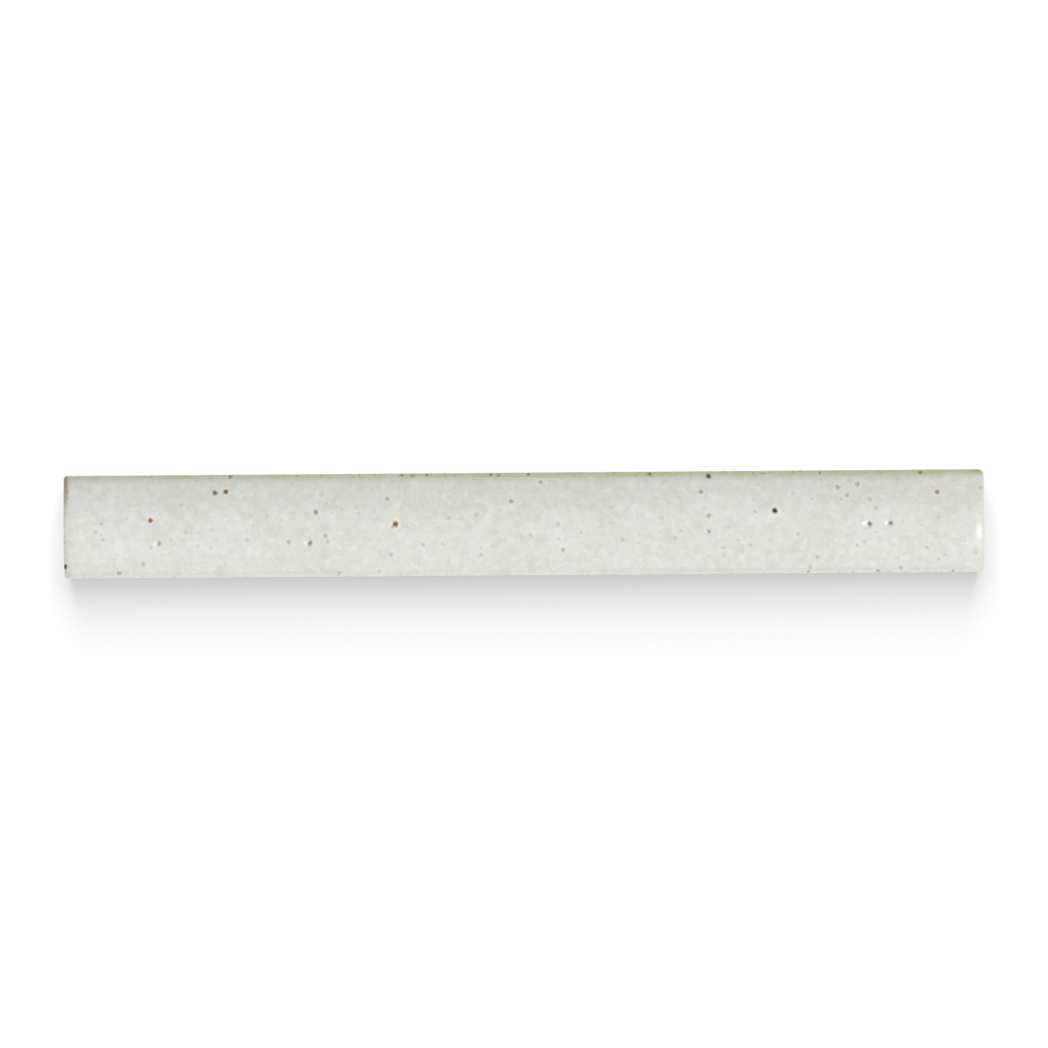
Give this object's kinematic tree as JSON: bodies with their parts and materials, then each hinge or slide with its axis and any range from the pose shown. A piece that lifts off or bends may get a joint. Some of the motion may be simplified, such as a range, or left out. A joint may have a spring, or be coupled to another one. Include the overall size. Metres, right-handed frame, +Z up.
{
  "type": "porcelain trim tile",
  "caption": "Narrow glazed porcelain trim tile with a low crowned face, rounded rim, drafted sides and a keyed back, for edging tiled surfaces.",
  "frame": {"origin": "middle of the back, on the plane that the tile lies on", "axes": "+X along the length, +Y across the width, +Z up out of the glazed face"},
  "size_m": [0.152, 0.017, 0.01],
  "materials": {
    "glazed_porcelain": "satin off-white glaze with iron specks and pinholes, thin over the edges, bare buff body on the back"
  },
  "bodies": {
    "root": {"trim_tile": "glazed_porcelain"}
  },
  "joints": []
}
